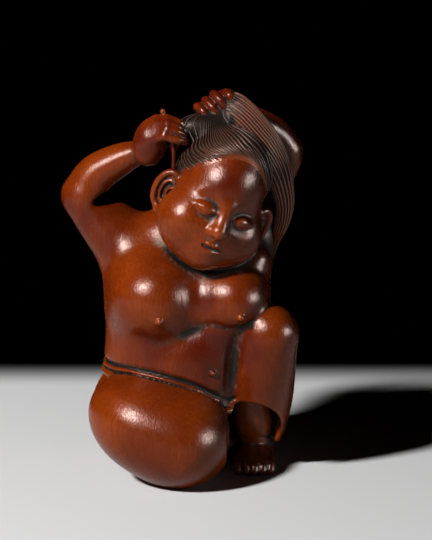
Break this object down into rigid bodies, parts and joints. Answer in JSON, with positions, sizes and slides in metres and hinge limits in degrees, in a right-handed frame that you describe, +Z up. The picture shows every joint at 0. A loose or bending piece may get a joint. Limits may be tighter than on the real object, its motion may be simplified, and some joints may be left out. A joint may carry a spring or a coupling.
{
  "type": "netsuke",
  "caption": "Carved wooden netsuke of a plump seated figure dressing its long hair, with cord holes low on the back.",
  "frame": {"origin": "below the middle of the figure's box, at the level of its flat underside", "axes": "+Z up through the figure, -Y towards the front of its chest, +X towards its raised left knee"},
  "size_m": [0.0275, 0.0227, 0.0445],
  "materials": {
    "boxwood": "stained reddish brown and polished to a satin gloss"
  },
  "bodies": {
    "root": {"figure": "boxwood"}
  },
  "joints": []
}
